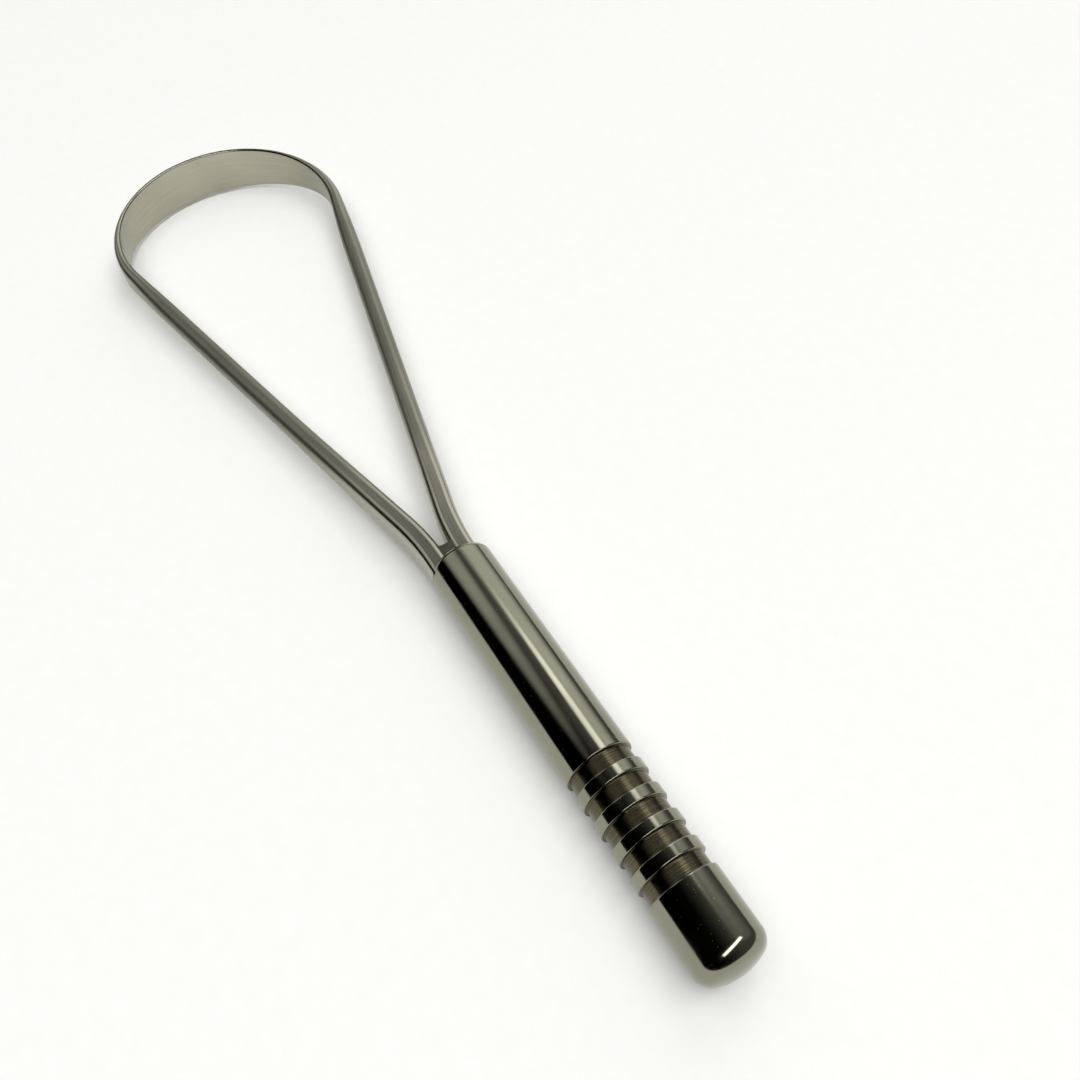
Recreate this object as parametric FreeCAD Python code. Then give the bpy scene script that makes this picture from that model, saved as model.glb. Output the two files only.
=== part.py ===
import FreeCAD, Part
import math
import os

os.makedirs("parts", exist_ok=True)

# A tongue scraper in polished stainless steel: a turned handle with gripping grooves, and one wire
# bent to a teardrop loop whose far end is pressed into an upright blade. The two ends of the wire are
# welded side by side to the end of the handle. Millimetres, +Z up, +X from the butt to the blade.

V = FreeCAD.Vector

# Handle, turned from round bar
HANDLE_D = 8.5
HANDLE_L = 57.9
MOUTH_ROUND = 1.0
BUTT_ROUND = 2.1
BUTT_DOME = 0.3
BUTT_L = 9.7
GROOVES = 5
GROOVE_PITCH = 3.39
GROOVE_W = 1.9
GROOVE_DEPTH = 0.42
LAND_BREAK = 0.1

# Loop, one wire: two straight legs, and an arc that carries the blade
LEG_SPREAD_DEG = 12.1
LEG_GAP = 1.12
ROOT_BEND_R = 40.6
BLADE_R = 18.85
LOOP_OFFSET = 0.6
LOOP_YAW_DEG = -0.75

# Wire section: a rounded rectangle, its width across the loop, from the root by the leg to the blade
LEG_W = 2.88
LEG_H = 2.75
LEG_CORNER = 1.3
ROOT_H = 4.9
ROOT_CORNER = 0.9
ROOT_TAPER = 40.0
BLADE_T = 0.65
BLADE_H = 7.8
BLADE_CORNER = 0.25
TALL_LEAD = 16.4
TALL_RUN = 48.3
THIN_LEAD = 15.0
THIN_RUN = 35.0

# How closely the loop is drawn: the longest step on a leg, and the chord error on a curve
LEG_STEP = 8.0
CHORD_ERROR = 0.03

# Weld metal in the fork of the legs, a little lower than the legs, with a hollow end
WELD_REACH = 2.2
WELD_DIP = 0.15
WELD_HOLLOW = 3.0

HANDLE_R = HANDLE_D / 2
LEG_START = (LEG_W + LEG_GAP) / 2
WELD_H = ROOT_H - 2 * WELD_DIP
FULLEST_CORNER = 0.95
SPREAD = math.radians(LEG_SPREAD_DEG)
YAW = math.radians(LOOP_YAW_DEG)


def handle_solid():
    """The handle along -X from its front face at x = 0: a half outline turned about the X axis."""
    groove_r = HANDLE_R - GROOVE_DEPTH
    butt_x = -HANDLE_L
    corner_x = butt_x + BUTT_DOME
    shank_x = corner_x + BUTT_ROUND
    diagonal = BUTT_ROUND * math.sqrt(0.5)
    flat_r = HANDLE_R - BUTT_ROUND
    dome_r = (flat_r ** 2 + BUTT_DOME ** 2) / (2 * BUTT_DOME)
    dome_mid = V(butt_x + dome_r - math.sqrt(dome_r ** 2 - (flat_r / 2) ** 2), 0, flat_r / 2)

    edges = [Part.Arc(V(butt_x, 0, 0), dome_mid, V(corner_x, 0, flat_r)).toShape()]
    corner_mid = V(shank_x - diagonal, 0, flat_r + diagonal)
    edges.append(Part.Arc(V(corner_x, 0, flat_r), corner_mid, V(shank_x, 0, HANDLE_R)).toShape())

    outline = [V(shank_x, 0, HANDLE_R)]
    for i in range(GROOVES):
        start = butt_x + BUTT_L + i * GROOVE_PITCH
        end = start + GROOVE_W
        outline.append(V(start - LAND_BREAK, 0, HANDLE_R))
        outline.append(V(start, 0, HANDLE_R - LAND_BREAK))
        outline.append(V(start, 0, groove_r))
        outline.append(V(end, 0, groove_r))
        outline.append(V(end, 0, HANDLE_R - LAND_BREAK))
        outline.append(V(end + LAND_BREAK, 0, HANDLE_R))
    outline.append(V(-MOUTH_ROUND, 0, HANDLE_R))
    for a, b in zip(outline, outline[1:]):
        edges.append(Part.makeLine(a, b))

    slant = MOUTH_ROUND * math.sqrt(0.5)
    round_mid = V(-MOUTH_ROUND + slant, 0, HANDLE_R - MOUTH_ROUND + slant)
    face_edge = V(0, 0, HANDLE_R - MOUTH_ROUND)
    edges.append(Part.Arc(outline[-1], round_mid, face_edge).toShape())
    edges.append(Part.makeLine(face_edge, V(0, 0, 0)))
    edges.append(Part.makeLine(V(0, 0, 0), V(butt_x, 0, 0)))
    face = Part.Face(Part.Wire(edges))
    return face.revolve(V(0, 0, 0), V(1, 0, 0), 360)


# Half of the loop's centreline, in the loop's own plane: a bend out of the handle, a straight leg, and
# a quarter turn and a bit on the blade radius, which ends on the loop's axis.
BEND_LEN = ROOT_BEND_R * SPREAD
BEND_END = (ROOT_BEND_R * math.sin(SPREAD), LEG_START + ROOT_BEND_R * (1 - math.cos(SPREAD)))
LEG_LEN = (BLADE_R * math.cos(SPREAD) - BEND_END[1]) / math.sin(SPREAD)
LEG_END = (BEND_END[0] + LEG_LEN * math.cos(SPREAD), BEND_END[1] + LEG_LEN * math.sin(SPREAD))
BLADE_CENTRE_X = LEG_END[0] + BLADE_R * math.sin(SPREAD)
SHOULDER_S = BEND_LEN + LEG_LEN
HALF_LEN = SHOULDER_S + BLADE_R * (SPREAD + math.pi / 2)


def half_path(s):
    """Point (x, y) and heading of the left half at length s from the handle's face (s < 0 inside it)."""
    if s <= 0:
        return s, LEG_START, 0.0
    if s <= BEND_LEN:
        turn = s / ROOT_BEND_R
        return ROOT_BEND_R * math.sin(turn), LEG_START + ROOT_BEND_R * (1 - math.cos(turn)), turn
    if s <= SHOULDER_S:
        run = s - BEND_LEN
        return BEND_END[0] + run * math.cos(SPREAD), BEND_END[1] + run * math.sin(SPREAD), SPREAD
    turn = SPREAD - (s - SHOULDER_S) / BLADE_R
    return BLADE_CENTRE_X - BLADE_R * math.sin(turn), BLADE_R * math.cos(turn), turn


def ease(x):
    """A smooth step from 0 to 1."""
    x = min(max(x, 0.0), 1.0)
    return x * x * (3 - 2 * x)


def section_size(s):
    """Half width, half height and corner radius of the wire's section at length s."""
    root = 1 - ease(s / ROOT_TAPER)
    tall = ease((s - SHOULDER_S + TALL_LEAD) / TALL_RUN)
    thin = ease((s - SHOULDER_S + THIN_LEAD) / THIN_RUN)
    leg = 1 - root - tall
    half_w = (LEG_W * (1 - thin) + BLADE_T * thin) / 2
    half_h = (LEG_H * leg + ROOT_H * root + BLADE_H * tall) / 2
    corner = LEG_CORNER * leg + ROOT_CORNER * root + BLADE_CORNER * tall
    return half_w, half_h, min(corner, FULLEST_CORNER * min(half_w, half_h))


def section_wire(s, mirror):
    """The closed outline of the wire at length s of a half, on the left (mirror 1) or the right (-1)."""
    x, y, heading = half_path(s)
    half_w, half_h, corner = section_size(s)
    inset = corner * (1 - math.sqrt(0.5))

    def at(out, up):
        return V(x - out * math.sin(heading), mirror * (y + out * math.cos(heading)), up)

    corners = []
    for side, face in ((1, 1), (-1, 1), (-1, -1), (1, -1)):
        on_side = at(side * half_w, face * (half_h - corner))
        middle = at(side * (half_w - inset), face * (half_h - inset))
        on_face = at(side * (half_w - corner), face * half_h)
        arc = [on_side, middle, on_face]
        corners.append(arc if side == face else arc[::-1])
    edges = []
    for arc, following in zip(corners, corners[1:] + corners[:1]):
        edges.append(Part.Arc(*arc).toShape())
        edges.append(Part.makeLine(arc[-1], following[0]))
    return Part.Wire(edges)


def stations(start, end, step):
    """Evenly spaced lengths from start up to, and without, end."""
    count = math.ceil((end - start) / step)
    return [start + (end - start) * i / count for i in range(count)]


def curve_step(radius):
    """The chord of an arc that leaves it by no more than the chord error."""
    return math.sqrt(8 * radius * CHORD_ERROR)


def place_loop(shape):
    """Set a shape made about the loop's own axis to the place of the loop on the handle."""
    shape.rotate(V(0, 0, 0), V(0, 0, 1), LOOP_YAW_DEG)
    shape.translate(V(0, LOOP_OFFSET, 0))
    return shape


def loop_solid(handle):
    """The whole wire as one loft from end to end, with its ends shaped to the handle's front."""
    half = [-MOUTH_ROUND]
    half += stations(0, BEND_LEN, curve_step(ROOT_BEND_R))
    half += stations(BEND_LEN, SHOULDER_S, LEG_STEP)
    half += stations(SHOULDER_S, HALF_LEN, curve_step(BLADE_R))
    wires = [section_wire(s, 1) for s in half]
    wires.append(section_wire(HALF_LEN, 1))
    wires += [section_wire(s, -1) for s in reversed(half)]
    loop = place_loop(Part.makeLoft(wires, True, True))
    return loop.cut(handle)


def weld_solid(loop):
    """Weld metal in the fork: a web from leg to leg, its end hollowed by a circle."""
    tip_x = WELD_REACH + WELD_HOLLOW
    tip_y = half_path(tip_x)[1]
    hollow_r = (tip_y ** 2 + WELD_HOLLOW ** 2) / (2 * WELD_HOLLOW)
    web = Part.makeBox(2 * tip_x, 2 * tip_y, WELD_H, V(-tip_x, -tip_y, -WELD_H / 2))
    hollow = Part.makeCylinder(hollow_r, WELD_H, V(WELD_REACH + hollow_r, 0, -WELD_H / 2))
    web = place_loop(web.cut(hollow))
    front = Part.makeBox(2 * tip_x, HANDLE_D, HANDLE_D, V(0, -HANDLE_R, -HANDLE_R))
    return web.common(front).cut(loop)


handle = handle_solid()
loop = loop_solid(handle)
weld = weld_solid(loop)

# The origin is under the middle of the whole part, at the level that the handle lies on.
blade_centre = (BLADE_CENTRE_X * math.cos(YAW), LOOP_OFFSET + BLADE_CENTRE_X * math.sin(YAW))
length = HANDLE_L + blade_centre[0] + BLADE_R + BLADE_T / 2
shift = V(HANDLE_L - length / 2, -blade_centre[1], HANDLE_R)
for name, shape in (("handle", handle), ("scraper_loop", loop), ("weld", weld)):
    shape.translate(shift)
    if len(shape.Solids) == 1:
        shape = shape.Solids[0]
    shape.exportStep("parts/" + name + ".step")
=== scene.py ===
"""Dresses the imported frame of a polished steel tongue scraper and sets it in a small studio.

The handle and the wire loop are rebuilt as fine meshes of the form that their solids have, because a
mirror polish shows every facet. The weld keeps its own node. Sizes of the scraper are in millimetres until
a mesh is made, and sizes of the studio's lights are in metres.
"""

import logging
import math
from dataclasses import dataclass, field
from enum import Enum

import bpy
from mathutils import Matrix, Vector

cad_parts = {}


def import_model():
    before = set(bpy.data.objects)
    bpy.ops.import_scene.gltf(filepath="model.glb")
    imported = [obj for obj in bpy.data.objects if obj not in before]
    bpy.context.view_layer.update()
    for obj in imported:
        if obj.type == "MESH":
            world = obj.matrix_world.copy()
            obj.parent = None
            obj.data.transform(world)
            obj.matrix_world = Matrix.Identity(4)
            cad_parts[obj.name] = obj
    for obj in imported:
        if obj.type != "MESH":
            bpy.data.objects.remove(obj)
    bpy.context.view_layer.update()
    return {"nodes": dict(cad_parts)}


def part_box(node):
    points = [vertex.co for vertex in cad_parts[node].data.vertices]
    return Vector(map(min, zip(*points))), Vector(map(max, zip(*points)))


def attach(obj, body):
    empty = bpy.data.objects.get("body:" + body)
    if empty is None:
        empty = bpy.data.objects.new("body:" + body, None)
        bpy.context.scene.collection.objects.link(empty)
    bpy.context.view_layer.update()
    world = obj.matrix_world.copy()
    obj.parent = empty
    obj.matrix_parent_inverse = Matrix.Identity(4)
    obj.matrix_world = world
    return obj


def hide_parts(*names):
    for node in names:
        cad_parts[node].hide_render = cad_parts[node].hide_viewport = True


MM = 0.001
MIDDLE_NOISE = 0.5
BODY = "root"
LOG = logging.getLogger("tongue_scraper")

Point = tuple[float, float]
Span = tuple[float, float]


class Node(str, Enum):
    """The solids of the frame."""

    HANDLE = "handle"
    LOOP = "scraper_loop"
    WELD = "weld"


class Slot(str, Enum):
    """Material slot names of the two pieces that are rebuilt."""

    HANDLE = "handle_steel"
    LOOP = "loop_steel"


class Zone(Enum):
    """Which finish a stretch of the handle's outline has, as the handle's material index."""

    POLISHED = 0
    TURNED = 1


class WireValue(str, Enum):
    """What the wire's mesh carries at each point for its finish.

    They are the length along the wire, the way out of its middle, and how finely it is polished, which also
    sets the painted shade that darkens the colour on the less polished legs.
    """

    RUN = "wire_run"
    OUT = "wire_out"
    POLISH_AND_PAINTED_SHADE = "wire_polish"


# Helpers


def linear(hex_colour: str) -> tuple[float, float, float, float]:
    """Turns an sRGB hex colour to linear RGBA.

    Args:
        hex_colour: Six hex digits, as in "c8c8b4".

    Returns:
        The linear colour, with alpha 1.
    """
    channels = []
    for start in (0, 2, 4):
        value = int(hex_colour[start:start + 2], 16) / 255
        channels.append(value / 12.92 if value <= 0.04045 else ((value + 0.055) / 1.055) ** 2.4)
    return channels[0], channels[1], channels[2], 1.0


def compass(azimuth_deg: float, elevation_deg: float) -> Vector:
    """Finds the direction of a bearing and a height above the floor.

    Args:
        azimuth_deg: Bearing from the blade's end of the scraper, counted towards its left side.
        elevation_deg: Height above the floor.

    Returns:
        The unit vector that points there.
    """
    azimuth, elevation = math.radians(azimuth_deg), math.radians(elevation_deg)
    level = math.cos(elevation)
    return Vector((level * math.cos(azimuth), level * math.sin(azimuth), math.sin(elevation)))


def ease(x: float) -> float:
    """A smooth step from 0 to 1."""
    x = min(max(x, 0.0), 1.0)
    return x * x * (3 - 2 * x)


def repeats(size_mm: float) -> float:
    """How often a pattern of that size repeats in a metre, which is a texture's scale."""
    return 1 / (size_mm * MM)


def arc(centre: Point, radius: float, start_deg: float, end_deg: float, count: int) -> list[Point]:
    """Draws an arc in a plane.

    Args:
        centre: The arc's centre.
        radius: Its radius.
        start_deg: Angle of the first point from the first axis.
        end_deg: Angle of the last point.
        count: How many steps the arc has.

    Returns:
        The points in order, with both ends.
    """
    points = []
    for i in range(count + 1):
        angle = math.radians(start_deg + (end_deg - start_deg) * i / count)
        points.append((centre[0] + radius * math.cos(angle), centre[1] + radius * math.sin(angle)))
    return points


def straight(start: Point, end: Point, guard: float, step: float) -> list[Point]:
    """Draws a straight run, with a point close to each end so that its shading stays flat between them.

    Args:
        start: The run's first point.
        end: Its last point.
        guard: How far the close points lie from the ends.
        step: The longest step between them.

    Returns:
        The points in order, with both ends.
    """
    length = math.dist(start, end)
    guard = min(guard, length / 3)
    inner = max(1, math.ceil((length - 2 * guard) / step))
    places = [0.0] + [guard + (length - 2 * guard) * i / inner for i in range(inner + 1)] + [length]
    return [tuple(a + (b - a) * p / length for a, b in zip(start, end)) for p in places]


def mesh_object(name: str, points: list[Vector], faces: list[tuple[int, ...]]) -> bpy.types.Object:
    """Makes a smooth-shaded mesh object.

    Args:
        name: The object's name.
        points: Vertices in millimetres, about the object's own origin.
        faces: Vertex indices of each face.

    Returns:
        The object, linked to the scene.
    """
    mesh = bpy.data.meshes.new(name)
    mesh.from_pydata([p * MM for p in points], [], faces)
    mesh.validate()
    mesh.shade_smooth()
    made = bpy.data.objects.new(name, mesh)
    bpy.context.scene.collection.objects.link(made)
    return made


def add_node(
    tree: bpy.types.NodeTree, kind: str, inputs: dict[str | int, object] | None = None, **settings: object
) -> bpy.types.Node:
    """Adds a node with its settings, values and links.

    Args:
        tree: The tree that takes the node.
        kind: The node's type name.
        inputs: For an input's name or number, a value to set or an output socket to link.
        **settings: The node's own properties.

    Returns:
        The new node.
    """
    node = tree.nodes.new(kind)
    for key, value in settings.items():
        setattr(node, key, value)
    for key, value in (inputs or {}).items():
        if isinstance(value, bpy.types.NodeSocket):
            tree.links.new(value, node.inputs[key])
        else:
            node.inputs[key].default_value = value
    return node


def new_tree(name: str) -> tuple[bpy.types.Material, bpy.types.NodeTree]:
    """Makes a node material with nothing in it.

    Args:
        name: The material's name.

    Returns:
        The material and its empty tree.
    """
    material = bpy.data.materials.new(name)
    material.use_nodes = True
    material.node_tree.nodes.clear()
    return material, material.node_tree


# Finishes


@dataclass(frozen=True)
class PolishedBar:
    """Stainless steel bar, turned and buffed on the lathe.

    It gives the eye a mirror with hairlines round the bar, a faint cloud in the polish and a few specks.
    Real buffing lines are finer than 0.02 mm; they are drawn coarser so that they show.
    """

    bright: str = "90907f"
    dull: str = "848473"
    roughness: Span = (0.07, 0.16)
    cloud_mm: float = 5.0
    cloud_levels: Span = (0.3, 0.7)
    hairline_mm: float = 0.12
    hairline_depth_mm: float = 0.00012
    speck_mm: float = 0.3
    speck_levels: Span = (0.70, 0.78)
    speck_roughness: float = 0.2

    def material(self) -> bpy.types.Material:
        """Builds the node material.

        Returns:
            The finish, ready to be put on a mesh.
        """
        material, tree = new_tree("stainless_bar_buffed")
        place = add_node(tree, "ShaderNodeTexCoord").outputs["Object"]
        axis = add_node(tree, "ShaderNodeSeparateXYZ", {0: place}).outputs["X"]
        cloud = add_node(
            tree, "ShaderNodeTexNoise", {"Vector": place, "Scale": repeats(self.cloud_mm), "Detail": 4.0})
        specks = add_node(
            tree, "ShaderNodeTexNoise", {"Vector": place, "Scale": repeats(self.speck_mm), "Detail": 1.0})
        faint, full = self.speck_levels
        speck = add_node(
            tree, "ShaderNodeMapRange",
            {"Value": specks.outputs["Fac"], "From Min": faint, "From Max": full})
        along = add_node(
            tree, "ShaderNodeMath", {0: axis, 1: repeats(self.hairline_mm)}, operation="MULTIPLY")
        lines = add_node(
            tree, "ShaderNodeTexNoise", {"W": along.outputs[0], "Detail": 2.0}, noise_dimensions="1D")
        colour = add_node(
            tree, "ShaderNodeMix",
            {"Factor": cloud.outputs["Fac"], "A": linear(self.bright), "B": linear(self.dull)},
            data_type="RGBA")
        clear, cloudy = self.cloud_levels
        smooth, rough = self.roughness
        polish = add_node(
            tree, "ShaderNodeMapRange",
            {"Value": cloud.outputs["Fac"], "From Min": clear, "From Max": cloudy,
             "To Min": smooth, "To Max": rough})
        worn = add_node(
            tree, "ShaderNodeMath",
            {0: speck.outputs[0], 1: self.speck_roughness, 2: polish.outputs[0]}, operation="MULTIPLY_ADD")
        bump = add_node(
            tree, "ShaderNodeBump",
            {"Height": lines.outputs["Fac"], "Distance": self.hairline_depth_mm * MM, "Strength": 1.0})
        shader = add_node(
            tree, "ShaderNodeBsdfPrincipled",
            {"Base Color": colour.outputs["Result"], "Metallic": 1.0, "Roughness": worn.outputs[0],
             "Normal": bump.outputs[0]})
        add_node(tree, "ShaderNodeOutputMaterial", {"Surface": shader.outputs[0]})
        return material


@dataclass(frozen=True)
class TurnedGroove:
    """Stainless steel as the grooving tool leaves it.

    It gives the eye rings that draw each light out into a streak along the handle, in colours darker and
    browner than the bar's, which are a painted shade and a painted warm reflection in the grooves. The
    tool's real rings are about 0.1 mm apart; they are drawn coarser so that they show. The quarter turn lays
    the streak across the rings.
    """

    bright: str = "7e785f"
    dull: str = "1e1c12"
    roughness: float = 0.26
    anisotropy: float = 0.97
    quarter_turn: float = 0.25
    ring_mm: float = 0.35
    ring_depth_mm: float = 0.004
    ring_levels: Span = (0.35, 0.7)

    def material(self) -> bpy.types.Material:
        """Builds the node material.

        Returns:
            The finish, ready to be put on a mesh.
        """
        material, tree = new_tree("stainless_bar_turned_painted_shade")
        place = add_node(tree, "ShaderNodeTexCoord").outputs["Object"]
        axis = add_node(tree, "ShaderNodeSeparateXYZ", {0: place}).outputs["X"]
        along = add_node(tree, "ShaderNodeMath", {0: axis, 1: repeats(self.ring_mm)}, operation="MULTIPLY")
        rings = add_node(
            tree, "ShaderNodeTexNoise", {"W": along.outputs[0], "Detail": 3.0}, noise_dimensions="1D")
        valley, crest = self.ring_levels
        tone = add_node(
            tree, "ShaderNodeMapRange",
            {"Value": rings.outputs["Fac"], "From Min": valley, "From Max": crest})
        # Painted shade: both ring tones are darker and browner than the bar's, for the shade and a warm
        # reflection in the grooves
        colour = add_node(
            tree, "ShaderNodeMix",
            {"Factor": tone.outputs[0], "A": linear(self.dull), "B": linear(self.bright)},
            data_type="RGBA")
        bump = add_node(
            tree, "ShaderNodeBump",
            {"Height": rings.outputs["Fac"], "Distance": self.ring_depth_mm * MM, "Strength": 1.0})
        round_bar = add_node(tree, "ShaderNodeTangent", direction_type="RADIAL", axis="X")
        shader = add_node(
            tree, "ShaderNodeBsdfPrincipled",
            {"Base Color": colour.outputs["Result"], "Metallic": 1.0, "Roughness": self.roughness,
             "Anisotropic": self.anisotropy, "Anisotropic Rotation": self.quarter_turn,
             "Tangent": round_bar.outputs[0], "Normal": bump.outputs[0]})
        add_node(tree, "ShaderNodeOutputMaterial", {"Surface": shader.outputs[0]})
        return material


@dataclass(frozen=True)
class PolishedWire:
    """Stainless steel wire, pressed, bent and buffed along its length.

    It gives the eye a bright polish at the roots and on the blade and a satin on the legs, whose colour is
    darkened there as a painted shade, with long hairlines that follow the wire and a slight wave in what it
    mirrors. Real hairlines are about 0.03 mm wide; they are drawn coarser so that they show.
    """

    bright: str = "b6b4a2"
    dull: str = "99998a"
    tone_levels: Span = (0.6, 1.4)
    cloud_mm: float = 12.0
    satin_painted_shade: float = 0.66
    satin_roughness: float = 0.46
    polished_roughness: float = 0.21
    hairline_roughness: float = 0.1
    hairline_mm: float = 0.15
    hairline_stretch: float = 60.0
    hairline_depth_mm: float = 0.0006
    wave_mm: float = 3.0
    wave_depth_mm: float = 0.004

    def material(self) -> bpy.types.Material:
        """Builds the node material.

        Returns:
            The finish, ready to be put on a mesh that carries the wire's values.
        """
        material, tree = new_tree("stainless_wire_buffed")
        place = add_node(tree, "ShaderNodeTexCoord").outputs["Object"]
        height = add_node(tree, "ShaderNodeSeparateXYZ", {0: place}).outputs["Z"]
        run, out, polish = (
            add_node(tree, "ShaderNodeAttribute", attribute_name=kind.value).outputs["Fac"]
            for kind in (WireValue.RUN, WireValue.OUT, WireValue.POLISH_AND_PAINTED_SHADE))
        drawn_out = add_node(
            tree, "ShaderNodeMath", {0: run, 1: 1 / self.hairline_stretch}, operation="MULTIPLY")
        lie = add_node(tree, "ShaderNodeCombineXYZ", {"X": drawn_out.outputs[0], "Y": out, "Z": height})
        hair = add_node(
            tree, "ShaderNodeTexNoise",
            {"Vector": lie.outputs[0], "Scale": repeats(self.hairline_mm), "Detail": 3.0})
        wave = add_node(
            tree, "ShaderNodeTexNoise", {"Vector": place, "Scale": repeats(self.wave_mm), "Detail": 1.0})
        cloud = add_node(
            tree, "ShaderNodeTexNoise", {"Vector": place, "Scale": repeats(self.cloud_mm), "Detail": 2.0})

        # Colour: hairlines and cloud together, with a painted shade that darkens it where the wire is satin
        both = add_node(
            tree, "ShaderNodeMath", {0: hair.outputs["Fac"], 1: cloud.outputs["Fac"]}, operation="ADD")
        low, high = self.tone_levels
        tone = add_node(
            tree, "ShaderNodeMapRange", {"Value": both.outputs[0], "From Min": low, "From Max": high})
        colour = add_node(
            tree, "ShaderNodeMix",
            {"Factor": tone.outputs[0], "A": linear(self.dull), "B": linear(self.bright)},
            data_type="RGBA")
        # Painted shade: the colour is darkened on the satin legs and kept full on the polished roots and
        # blade
        shade = add_node(
            tree, "ShaderNodeMapRange", {"Value": polish, "To Min": self.satin_painted_shade, "To Max": 1.0})
        colour_with_painted_shade = add_node(
            tree, "ShaderNodeVectorMath",
            {0: colour.outputs["Result"], "Scale": shade.outputs[0]}, operation="SCALE")

        # Roughness: satin to polished, a little up and down with the hairlines
        even = add_node(
            tree, "ShaderNodeMapRange",
            {"Value": polish, "To Min": self.satin_roughness, "To Max": self.polished_roughness})
        about = add_node(
            tree, "ShaderNodeMath", {0: hair.outputs["Fac"], 1: MIDDLE_NOISE}, operation="SUBTRACT")
        rough = add_node(
            tree, "ShaderNodeMath",
            {0: about.outputs[0], 1: self.hairline_roughness, 2: even.outputs[0]}, operation="MULTIPLY_ADD")

        # Relief: hairlines on top of the slow wave
        swell = add_node(
            tree, "ShaderNodeBump",
            {"Height": wave.outputs["Fac"], "Distance": self.wave_depth_mm * MM, "Strength": 1.0})
        bump = add_node(
            tree, "ShaderNodeBump",
            {"Height": hair.outputs["Fac"], "Distance": self.hairline_depth_mm * MM, "Strength": 1.0,
             "Normal": swell.outputs[0]})
        shader = add_node(
            tree, "ShaderNodeBsdfPrincipled",
            {"Base Color": colour_with_painted_shade.outputs["Vector"], "Metallic": 1.0, "Roughness": rough.outputs[0],
             "Normal": bump.outputs[0]})
        add_node(tree, "ShaderNodeOutputMaterial", {"Surface": shader.outputs[0]})
        return material


@dataclass(frozen=True)
class GroundWeld:
    """Weld metal, ground back and buffed with the legs.

    It gives the eye a softer, cloudier mirror than the wire, with the grinder's short scratches from leg to
    leg. Real scratches are about 0.05 mm wide; they are drawn coarser so that they show.
    """

    bright: str = "8c8a7a"
    dull: str = "726f60"
    roughness: Span = (0.14, 0.28)
    scratch_mm: float = 0.12
    scratch_depth_mm: float = 0.003
    scratch_scale: tuple[float, float, float] = (1.0, 0.15, 1.0)

    def material(self) -> bpy.types.Material:
        """Builds the node material.

        Returns:
            The finish, ready to be put on a mesh.
        """
        material, tree = new_tree("stainless_weld_ground")
        place = add_node(tree, "ShaderNodeTexCoord").outputs["Object"]
        across = add_node(tree, "ShaderNodeMapping", {"Vector": place, "Scale": self.scratch_scale})
        scratch = add_node(
            tree, "ShaderNodeTexNoise",
            {"Vector": across.outputs[0], "Scale": repeats(self.scratch_mm), "Detail": 3.0})
        colour = add_node(
            tree, "ShaderNodeMix",
            {"Factor": scratch.outputs["Fac"], "A": linear(self.dull), "B": linear(self.bright)},
            data_type="RGBA")
        smooth, rough = self.roughness
        polish = add_node(
            tree, "ShaderNodeMapRange",
            {"Value": scratch.outputs["Fac"], "To Min": smooth, "To Max": rough})
        bump = add_node(
            tree, "ShaderNodeBump",
            {"Height": scratch.outputs["Fac"], "Distance": self.scratch_depth_mm * MM, "Strength": 1.0})
        shader = add_node(
            tree, "ShaderNodeBsdfPrincipled",
            {"Base Color": colour.outputs["Result"], "Metallic": 1.0, "Roughness": polish.outputs[0],
             "Normal": bump.outputs[0]})
        add_node(tree, "ShaderNodeOutputMaterial", {"Surface": shader.outputs[0]})
        return material


# The scraper


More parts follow.
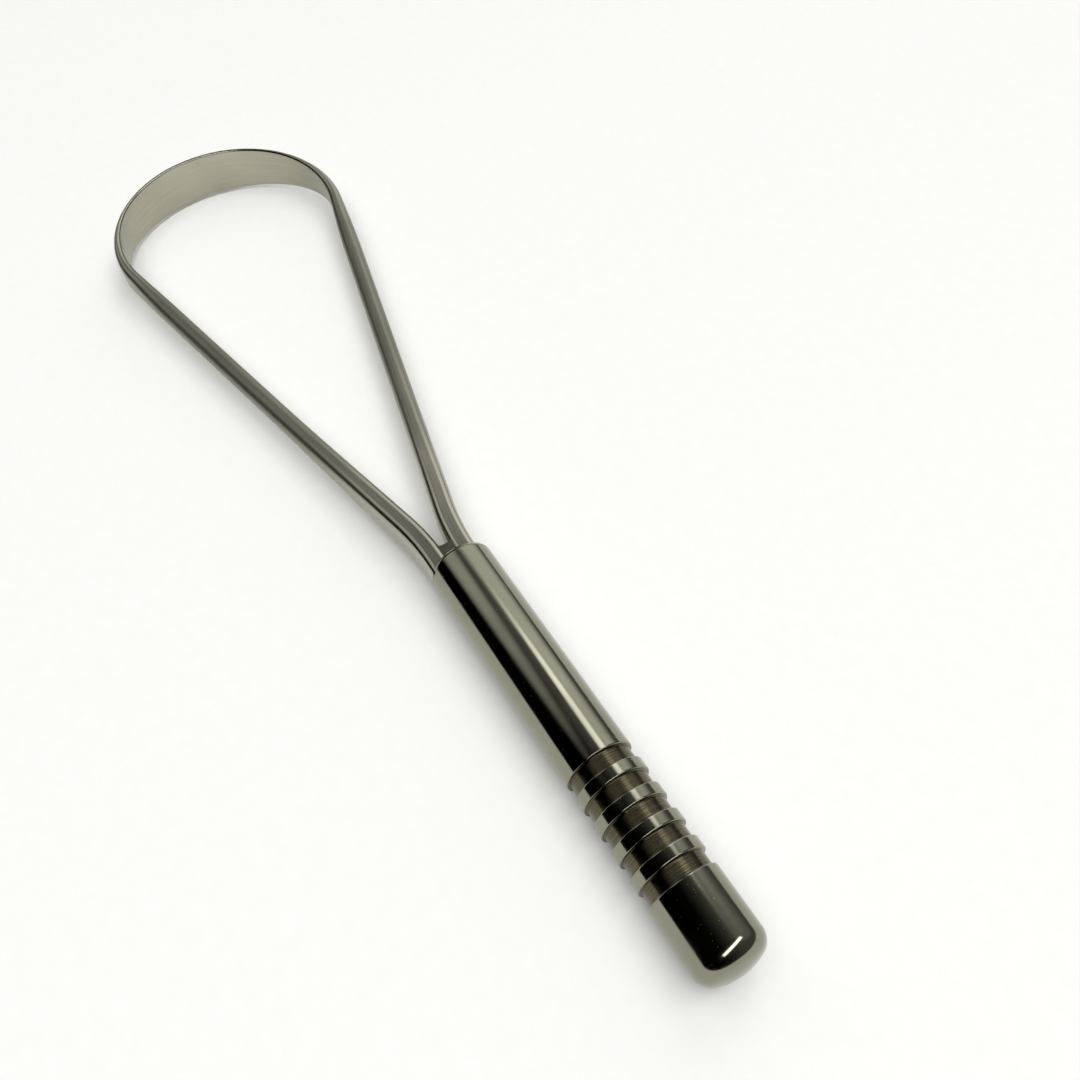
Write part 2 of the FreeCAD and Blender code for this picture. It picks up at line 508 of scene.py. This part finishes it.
@dataclass
class Handle:
    """The turned handle: a round bar with gripping grooves, a rounded butt and a rounded mouth.

    Its outline is drawn along x, from the butt at minus its length to the front face at 0. A guard is how
    close to its ends a straight stretch has a point, so that the shading turns only in the corners.
    """

    diameter: float
    length: float
    front: Vector
    mouth_round: float = 1.0
    butt_round: float = 2.1
    butt_dome: float = 0.3
    butt_length: float = 9.7
    grooves: int = 5
    groove_pitch: float = 3.39
    groove_width: float = 1.9
    groove_depth: float = 0.42
    groove_corner: float = 0.15
    land_break: float = 0.14
    guard: float = 0.06
    wall_guard: float = 0.03
    step: float = 1.5
    sides: int = 192
    break_steps: int = 4
    corner_steps: int = 5
    dome_steps: int = 10
    butt_steps: int = 20
    mouth_steps: int = 12
    polish: PolishedBar = field(default_factory=PolishedBar)
    turning: TurnedGroove = field(default_factory=TurnedGroove)

    @classmethod
    def from_frame(cls) -> "Handle":
        """Takes the bar's diameter, length and place from its solid.

        Returns:
            The handle, ready to be built.
        """
        low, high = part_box(Node.HANDLE.value)
        front = Vector((high.x, (low.y + high.y) / 2, (low.z + high.z) / 2)) / MM
        return cls(diameter=(high.z - low.z) / MM, length=(high.x - low.x) / MM, front=front)

    def land(self, start: float, end: float) -> list[Point]:
        """A stretch of the full diameter between two places along the handle."""
        radius = self.diameter / 2
        return straight((start, radius), (end, radius), self.guard, self.step)

    def groove_runs(self, start: float) -> list[tuple[Zone, list[Point]]]:
        """Draws one groove, from the broken edge before it to the one after it.

        Args:
            start: Where the groove's first wall stands.

        Returns:
            Stretches of points with their finishes.
        """
        end = start + self.groove_width
        corner, edge = self.groove_corner, self.land_break
        floor = self.diameter / 2 - self.groove_depth
        foot = floor + corner
        brow = self.diameter / 2 - edge
        return [
            (Zone.POLISHED, arc((start - edge, brow), edge, 90, 0, self.break_steps)),
            (Zone.TURNED, straight((start, brow), (start, foot), self.wall_guard, self.step)),
            (Zone.TURNED, arc((start + corner, foot), corner, 180, 270, self.corner_steps)),
            (Zone.TURNED, straight((start + corner, floor), (end - corner, floor), self.guard, self.step)),
            (Zone.TURNED, arc((end - corner, foot), corner, 270, 360, self.corner_steps)),
            (Zone.TURNED, straight((end, foot), (end, brow), self.wall_guard, self.step)),
            (Zone.POLISHED, arc((end + edge, brow), edge, 180, 90, self.break_steps)),
        ]

    def outline(self) -> list[tuple[Zone, list[Point]]]:
        """Draws the half outline from the middle of the butt to the middle of the front face.

        Returns:
            Stretches of points with their finishes.
        """
        butt = -self.length
        # The dome runs into the butt's corner without a crease, because the centres of the two arcs lie on
        # one line with the place where they meet.
        flat = self.diameter / 2 - self.butt_round
        dome = (flat ** 2 + self.butt_dome ** 2) / (2 * self.butt_dome)
        shank = butt + dome - math.sqrt((dome - self.butt_round) ** 2 - flat ** 2)
        dome_deg = math.degrees(math.asin(flat / (dome - self.butt_round)))
        runs = [
            (Zone.POLISHED, arc((butt + dome, 0.0), dome, 180, 180 - dome_deg, self.dome_steps)),
            (Zone.POLISHED, arc((shank, flat), self.butt_round, 180 - dome_deg, 90, self.butt_steps)),
        ]
        reached = shank
        for i in range(self.grooves):
            start = butt + self.butt_length + i * self.groove_pitch
            runs.append((Zone.POLISHED, self.land(reached, start - self.land_break)))
            runs.extend(self.groove_runs(start))
            reached = start + self.groove_width + self.land_break
        runs.append((Zone.POLISHED, self.land(reached, -self.mouth_round)))
        face = self.diameter / 2 - self.mouth_round
        mouth = arc((-self.mouth_round, face), self.mouth_round, 90, 0, self.mouth_steps)
        runs.append((Zone.POLISHED, mouth))
        runs.append((Zone.POLISHED, straight((0.0, face), (0.0, 0.0), self.guard, self.step)))
        return runs

    def build(self) -> bpy.types.Object:
        """Turns the outline about the handle's axis and stands it for the solid.

        Returns:
            The handle's mesh object.
        """
        profile, zones = [], []
        for zone, stretch in self.outline():
            skip = 1 if profile else 0
            profile.extend(stretch[skip:])
            zones.extend([zone] * (len(stretch) - 1))
        points = [Vector((profile[0][0], 0, 0))]
        for x, r in profile[1:-1]:
            for k in range(self.sides):
                angle = 2 * math.pi * k / self.sides
                points.append(Vector((x, r * math.sin(angle), r * math.cos(angle))))
        points.append(Vector((profile[-1][0], 0, 0)))

        faces, finish = [], []
        last = len(points) - 1
        rings = len(profile) - 2
        for k in range(self.sides):
            after = (k + 1) % self.sides
            faces.append((0, 1 + k, 1 + after))
            finish.append(zones[0])
            for i in range(rings - 1):
                a, b = 1 + i * self.sides, 1 + (i + 1) * self.sides
                faces.append((a + k, b + k, b + after, a + after))
                finish.append(zones[i + 1])
            a = 1 + (rings - 1) * self.sides
            faces.append((a + k, last, a + after))
            finish.append(zones[-1])

        made = mesh_object("handle_turned", points, faces)
        made.location = self.front * MM
        for zone, polygon in zip(finish, made.data.polygons):
            polygon.material_index = zone.value
        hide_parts(Node.HANDLE.value)
        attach(made, BODY)
        return made

    def dress(self, made: bpy.types.Object) -> None:
        """Gives the handle its polish, and its grooves their turned finish with painted shade."""
        made.data.materials.append(self.polish.material())
        made.data.materials.append(self.turning.material())


@dataclass
class ScraperLoop:
    """The wire: two legs that spread from the handle, and a blade pressed on edge between the shoulders.

    Lengths along a half of the wire are counted from the handle's front face, and its ends sink into the
    handle. The wire grows tall and thin towards the blade, each over its own run, which starts by its lead
    before the shoulder.
    """

    front: Vector
    spread_deg: float = 12.1
    leg_gap: float = 1.12
    root_bend: float = 40.6
    blade_radius: float = 18.85
    offset: float = 0.6
    yaw_deg: float = -0.75
    sink: float = 1.0
    leg_width: float = 2.88
    leg_height: float = 2.75
    leg_corner: float = 1.3
    root_height: float = 4.9
    root_corner: float = 0.9
    root_taper: float = 40.0
    blade_thickness: float = 0.65
    blade_height: float = 7.8
    blade_corner: float = 0.25
    fullest_corner: float = 0.95
    tall_lead: float = 16.4
    tall_run: float = 48.3
    thin_lead: float = 15.0
    thin_run: float = 35.0
    step: float = 0.5
    corner_steps: int = 8
    flat_steps: int = 4
    polish: PolishedWire = field(default_factory=PolishedWire)
    spread: float = field(init=False)
    leg_start: float = field(init=False)
    bend_length: float = field(init=False)
    bend_end: Point = field(init=False)
    shoulder: float = field(init=False)
    blade_x: float = field(init=False)
    half_length: float = field(init=False)

    def __post_init__(self) -> None:
        """Works out where the bend, the leg and the blade's arc meet."""
        self.spread = math.radians(self.spread_deg)
        self.leg_start = (self.leg_width + self.leg_gap) / 2
        self.bend_length = self.root_bend * self.spread
        self.bend_end = self.on_bend(self.spread)
        leg_rise = self.blade_radius * math.cos(self.spread) - self.bend_end[1]
        leg_length = leg_rise / math.sin(self.spread)
        self.shoulder = self.bend_length + leg_length
        leg_end = self.bend_end[0] + leg_length * math.cos(self.spread)
        self.blade_x = leg_end + self.blade_radius * math.sin(self.spread)
        self.half_length = self.shoulder + self.blade_radius * (self.spread + math.pi / 2)

    def on_bend(self, turn: float) -> Point:
        """The point of the root's bend where the wire has turned by that angle."""
        return self.root_bend * math.sin(turn), self.leg_start + self.root_bend * (1 - math.cos(turn))

    def path(self, s: float) -> tuple[float, float, float]:
        """Follows the left half's centreline.

        Args:
            s: Length along the half.

        Returns:
            The point's x and y, and the wire's heading there.
        """
        if s <= 0:
            return s, self.leg_start, 0.0
        if s <= self.bend_length:
            turn = s / self.root_bend
            return *self.on_bend(turn), turn
        if s <= self.shoulder:
            run = s - self.bend_length
            x, y = self.bend_end
            return x + run * math.cos(self.spread), y + run * math.sin(self.spread), self.spread
        turn = self.spread - (s - self.shoulder) / self.blade_radius
        return self.blade_x - self.blade_radius * math.sin(turn), self.blade_radius * math.cos(turn), turn

    def flatness(self, s: float) -> float:
        """How far the wire is pressed thin at a length, from 0 on the leg to 1 on the blade."""
        return ease((s - self.shoulder + self.thin_lead) / self.thin_run)

    def rootedness(self, s: float) -> float:
        """How far the wire has its root's section at a length, from 1 at the handle to 0 on the leg."""
        return 1 - ease(s / self.root_taper)

    def section(self, s: float) -> list[tuple[Point, Point]]:
        """Draws the wire's outline at a length: a rounded rectangle in the plane (outwards, up).

        Args:
            s: Length along the half.

        Returns:
            Points of the closed outline with the way each faces, the same count at every length.
        """
        root = self.rootedness(s)
        tall = ease((s - self.shoulder + self.tall_lead) / self.tall_run)
        thin = self.flatness(s)
        leg = 1 - root - tall
        half_w = (self.leg_width * (1 - thin) + self.blade_thickness * thin) / 2
        half_h = (self.leg_height * leg + self.root_height * root + self.blade_height * tall) / 2
        corner = self.leg_corner * leg + self.root_corner * root + self.blade_corner * tall
        corner = min(corner, self.fullest_corner * min(half_w, half_h))
        w, h = half_w - corner, half_h - corner
        outline = []
        for side, face, start in ((1, 1, 0), (-1, 1, 90), (-1, -1, 180), (1, -1, 270)):
            bend = arc((0.0, 0.0), 1.0, start, start + 90, self.corner_steps)
            outline.extend(((side * w + corner * a, face * h + corner * b), (a, b)) for a, b in bend)
            facing = bend[-1]
            for i in range(1, self.flat_steps):
                across = 1 - 2 * i / self.flat_steps
                if side * face > 0:
                    middle = (side * w * across, face * half_h)
                else:
                    middle = (side * half_w, face * h * across)
                outline.append((middle, facing))
        return outline

    def ring(self, s: float, side: int) -> list[tuple[Vector, float, Vector]]:
        """Sets the wire's outline in its place on the handle.

        Args:
            s: Length along the half.
            side: 1 for the left half, -1 for the right half.

        Returns:
            For each point: where it is, how far out of the wire's middle it is, and the way it faces.
        """
        x, y, heading = self.path(s)
        yaw = Matrix.Rotation(math.radians(self.yaw_deg), 3, "Z")
        shift = Vector((0, self.offset, 0))
        outwards = Vector((-math.sin(heading), side * math.cos(heading), 0))
        middle = Vector((x, side * y, 0))
        ring = []
        for (out, up), (face_out, face_up) in self.section(s):
            point = middle + outwards * out + Vector((0, 0, up))
            facing = outwards * face_out + Vector((0, 0, face_up))
            ring.append((yaw @ point + shift, out, yaw @ facing))
        return ring

    def stations(self) -> list[tuple[float, int]]:
        """Divides the wire from the left root over the blade to the right root.

        Returns:
            Lengths along the halves, with 1 for the left half and -1 for the right half.
        """
        count = math.ceil((self.half_length + self.sink) / self.step)
        half = [-self.sink + (self.half_length + self.sink) * i / count for i in range(count + 1)]
        return [(s, 1) for s in half] + [(s, -1) for s in reversed(half[:-1])]

    def build(self) -> bpy.types.Object:
        """Carries the section along the wire and stands it for the solid.

        Returns:
            The loop's mesh object.
        """
        points, normals = [], []
        values = {kind: [] for kind in WireValue}
        stations = self.stations()
        for s, side in stations:
            run = s if side > 0 else 2 * self.half_length - s
            # Polish sets the finish and also the painted shade of the wire's colour: full at the roots and
            # on the blade, darker on the legs
            polish = max(self.flatness(s), self.rootedness(s))
            ahead = self.ring(s + self.step / 2, side)
            behind = self.ring(s - self.step / 2, side)
            for k, (point, out, facing) in enumerate(self.ring(s, side)):
                along = (ahead[k][0] - behind[k][0]).normalized()
                points.append(point)
                normals.append((facing - along * facing.dot(along)).normalized())
                values[WireValue.RUN].append(run * MM)
                values[WireValue.OUT].append(out * MM)
                values[WireValue.POLISH_AND_PAINTED_SHADE].append(polish)

        around = len(points) // len(stations)
        faces = [tuple(reversed(range(around)))]
        for i in range(len(stations) - 1):
            a, b = i * around, (i + 1) * around
            for k in range(around):
                after = (k + 1) % around
                faces.append((a + k, a + after, b + after, b + k))
        faces.append(tuple(range(len(points) - around, len(points))))

        made = mesh_object("scraper_loop_wire", points, faces)
        for kind, carried in values.items():
            made.data.attributes.new(kind.value, "FLOAT", "POINT").data.foreach_set("value", carried)
        made.data.normals_split_custom_set_from_vertices(normals)
        made.location = self.front * MM
        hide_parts(Node.LOOP.value)
        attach(made, BODY)
        return made

    def dress(self, made: bpy.types.Object) -> None:
        """Gives the wire its polish, with painted shade on the satin legs."""
        made.data.materials.append(self.polish.material())


@dataclass
class Weld:
    """The weld metal in the fork of the legs, which keeps its own solid."""

    solid: bpy.types.Object
    grinding: GroundWeld = field(default_factory=GroundWeld)

    def dress(self) -> None:
        """Gives the weld its ground finish."""
        self.solid.data.materials.clear()
        self.solid.data.materials.append(self.grinding.material())


# The studio


@dataclass(frozen=True)
class WhiteCard:
    """Matt white card, the floor.

    It gives the eye an even white with the soft shadow of what lies on it. Its grain is drawn coarser than
    real card has, as faint patches, because the real one is too fine to show.
    """

    white: str = "f6f6f4"
    shade: str = "f2f2ef"
    grain_mm: float = 2.0

    def material(self) -> bpy.types.Material:
        """Builds the node material.

        Returns:
            The finish, ready to be put on a mesh.
        """
        material, tree = new_tree("white_card_matt")
        place = add_node(tree, "ShaderNodeTexCoord").outputs["Object"]
        grain = add_node(tree, "ShaderNodeTexNoise", {"Vector": place, "Scale": repeats(self.grain_mm)})
        colour = add_node(
            tree, "ShaderNodeMix",
            {"Factor": grain.outputs["Fac"], "A": linear(self.white), "B": linear(self.shade)},
            data_type="RGBA")
        shader = add_node(tree, "ShaderNodeBsdfDiffuse", {"Color": colour.outputs["Result"]})
        add_node(tree, "ShaderNodeOutputMaterial", {"Surface": shader.outputs[0]})
        return material


@dataclass(frozen=True)
class SoftBox:
    """A soft light at a bearing and a height seen from the scraper.

    Its distance and its sides are in metres. One that isn't mirrored lights the floor and doesn't show in
    the steel.
    """

    name: str
    azimuth_deg: float
    elevation_deg: float
    distance: float
    width: float
    height: float
    radiance: float
    mirrored: bool = True

    def place(self, aim: Vector) -> None:
        """Hangs the light so that it faces the aim.

        Args:
            aim: What the light points at, in metres.
        """
        light = bpy.data.lights.new(self.name, "AREA")
        light.shape = "RECTANGLE"
        light.size = self.width
        light.size_y = self.height
        light.energy = self.radiance * math.pi * self.width * self.height
        made = bpy.data.objects.new(self.name, light)
        bpy.context.scene.collection.objects.link(made)
        away = compass(self.azimuth_deg, self.elevation_deg)
        made.location = aim + away * self.distance
        made.rotation_euler = (-away).to_track_quat("-Z", "Y").to_euler()
        made.visible_glossy = self.mirrored


@dataclass(frozen=True)
class RoomGlow:
    """A pale patch of the room's walls, at a bearing and a height seen from the scraper.

    It is even out to one angle from its middle and has faded away at another.
    """

    azimuth_deg: float
    elevation_deg: float
    even_deg: float
    fade_deg: float
    radiance: float

    def level(self, tree: bpy.types.NodeTree, bearing: bpy.types.NodeSocket) -> bpy.types.NodeSocket:
        """Adds the patch to the room.

        Args:
            tree: The room's node tree.
            bearing: The direction looked in.

        Returns:
            The socket that gives the patch's radiance in that direction.
        """
        towards = compass(self.azimuth_deg, self.elevation_deg)
        near = add_node(tree, "ShaderNodeVectorMath", {0: bearing, 1: towards}, operation="DOT_PRODUCT")
        patch = add_node(
            tree, "ShaderNodeMapRange",
            {"Value": near.outputs["Value"], "From Min": math.cos(math.radians(self.fade_deg)),
             "From Max": math.cos(math.radians(self.even_deg)), "To Min": 0.0, "To Max": self.radiance},
            interpolation_type="SMOOTHSTEP")
        return patch.outputs[0]


@dataclass
class Studio:
    """Floor, room, light and the photograph's camera.

    The room's level turns from light to dark with the sideways part of the direction looked in.
    """

    floor_side: float = 4.0
    room_dark: float = 0.0
    room_light: float = 0.13
    room_turn: Span = (-0.7, 0.45)
    room_tint: str = "ffffff"
    camera_mm: tuple[float, float, float] = (-92.99, 22.25, 105.83)
    camera_deg: tuple[float, float, float] = (36.109, 4.078, -121.182)
    focal_mm: float = 32.551
    sensor_mm: float = 36.0
    clip_mm: float = 10.0
    card: WhiteCard = field(default_factory=WhiteCard)
    lights: tuple[SoftBox, ...] = (
        # A long box behind the camera, for the glint on the butt and the shadow's side
        SoftBox(
            name="key_behind", azimuth_deg=202.0, elevation_deg=68.0, distance=2.2, width=3.0, height=0.5,
            radiance=5.2),
        # A wide box overhead, which brings the floor up to white; the steel mirrors a dark room instead
        SoftBox(
            name="overhead", azimuth_deg=150.0, elevation_deg=80.0, distance=2.0, width=2.4, height=2.4,
            radiance=1.54, mirrored=False),
    )
    glows: tuple[RoomGlow, ...] = (
        # The pale band along the right of the barrel
        RoomGlow(azimuth_deg=-44.0, elevation_deg=30.0, even_deg=8.0, fade_deg=32.0, radiance=1.0),
        # The pale band on its left, which fades towards the grooves
        RoomGlow(azimuth_deg=24.0, elevation_deg=42.0, even_deg=4.0, fade_deg=25.0, radiance=0.8),
        # A dim grey on the right of the butt and the lands
        RoomGlow(azimuth_deg=-84.0, elevation_deg=40.0, even_deg=4.0, fade_deg=34.0, radiance=0.16),
        # A dim grey in the dark stripe between the two bands
        RoomGlow(azimuth_deg=-12.0, elevation_deg=52.0, even_deg=2.0, fade_deg=26.0, radiance=0.1),
        # The bright stripe on the barrel, and the streaks on the groove floors in line with it
        RoomGlow(azimuth_deg=-50.0, elevation_deg=55.0, even_deg=2.0, fade_deg=11.0, radiance=2.2),
    )

    def build_floor(self) -> None:
        """Lays the card that the scraper lies on."""
        half = self.floor_side / 2 / MM
        corners = [Vector((x * half, y * half, 0)) for x, y in ((-1, -1), (1, -1), (1, 1), (-1, 1))]
        floor = mesh_object("floor_card", corners, [(0, 1, 2, 3)])
        floor.data.materials.append(self.card.material())

    def build_room(self) -> None:
        """Makes the room: dark on the left, a little lighter on the right, with its glows."""
        world = bpy.data.worlds.new("room")
        bpy.context.scene.world = world
        world.use_nodes = True
        tree = world.node_tree
        tree.nodes.clear()
        bearing = add_node(tree, "ShaderNodeTexCoord").outputs["Generated"]
        left = add_node(tree, "ShaderNodeSeparateXYZ", {0: bearing}).outputs["Y"]
        right_end, left_end = self.room_turn
        level = add_node(
            tree, "ShaderNodeMapRange",
            {"Value": left, "From Min": right_end, "From Max": left_end,
             "To Min": self.room_light, "To Max": self.room_dark},
            interpolation_type="SMOOTHSTEP")
        total = level.outputs[0]
        for glow in self.glows:
            lit = add_node(tree, "ShaderNodeMath", {0: total, 1: glow.level(tree, bearing)}, operation="ADD")
            total = lit.outputs[0]
        room = add_node(tree, "ShaderNodeBackground", {"Color": linear(self.room_tint), "Strength": total})
        add_node(tree, "ShaderNodeOutputWorld", {"Surface": room.outputs[0]})

    def build_camera(self) -> None:
        """Sets the camera where the photograph was taken from."""
        data = bpy.data.cameras.new("photograph")
        data.lens = self.focal_mm
        data.sensor_width = self.sensor_mm
        data.clip_start = self.clip_mm * MM
        camera = bpy.data.objects.new("photograph", data)
        camera.location = Vector(self.camera_mm) * MM
        camera.rotation_euler = [math.radians(a) for a in self.camera_deg]
        bpy.context.scene.collection.objects.link(camera)
        bpy.context.scene.camera = camera

    def build(self) -> None:
        """Builds the whole studio."""
        self.build_floor()
        self.build_room()
        self.build_camera()
        for light in self.lights:
            light.place(Vector((0, 0, 0)))
        bpy.context.scene.view_settings.view_transform = "Standard"


def main() -> None:
    """Builds the scraper on its frame, then the studio round it."""
    logging.basicConfig(level=logging.INFO, format="%(name)s: %(message)s")
    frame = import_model()

    handle = Handle.from_frame()
    turned = handle.build()
    handle.dress(turned)
    LOG.info("%s: %d faces", turned.name, len(turned.data.polygons))

    loop = ScraperLoop(front=handle.front)
    wire = loop.build()
    loop.dress(wire)
    LOG.info("%s: %d faces", wire.name, len(wire.data.polygons))

    weld = Weld(solid=frame["nodes"][Node.WELD.value])
    weld.dress()
    LOG.info("%s keeps its solid", weld.solid.name)

    Studio().build()


if __name__ == "__main__":
    main()
